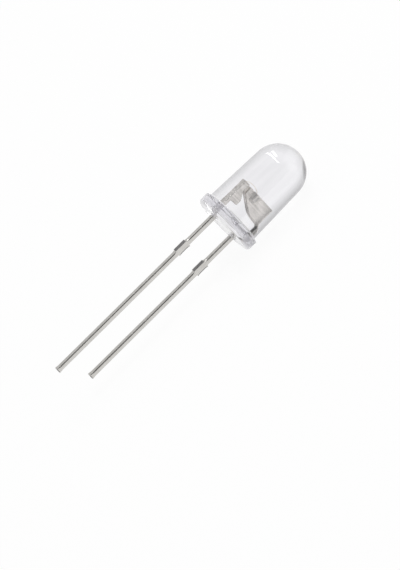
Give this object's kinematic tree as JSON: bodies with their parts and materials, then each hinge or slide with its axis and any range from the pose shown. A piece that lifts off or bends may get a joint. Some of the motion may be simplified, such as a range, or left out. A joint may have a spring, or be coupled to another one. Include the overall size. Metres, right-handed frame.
{
  "type": "through hole led",
  "caption": "Water-clear round-domed light-emitting diode with a flanged lens, stamped lead frame with reflector cup, and straight leads for a circuit board.",
  "frame": {"origin": "centre of the flange's underside, on the optical axis, where the part seats on a board", "axes": "+X along the optical axis towards the dome, the leads along -X, and -Z out of the flat on the flange, on the cathode's side; the part lies on that flat"},
  "size_m": [0.0262, 0.0056, 0.0054],
  "materials": {
    "clear_epoxy": "water-clear cast epoxy, glossy",
    "tinned_steel": "stamped steel strip, tin plated, bare at the cut stubs",
    "emitter_chip": "red-emitting semiconductor chip",
    "silver_paste": "conductive silver-filled epoxy",
    "gold_wire": "fine gold bond wire"
  },
  "bodies": {
    "root": {"lens": "clear_epoxy", "anode_lead": "tinned_steel", "cathode_lead": "tinned_steel", "chip": "emitter_chip", "die_paste": "silver_paste", "bond_wire": "gold_wire"}
  },
  "joints": []
}
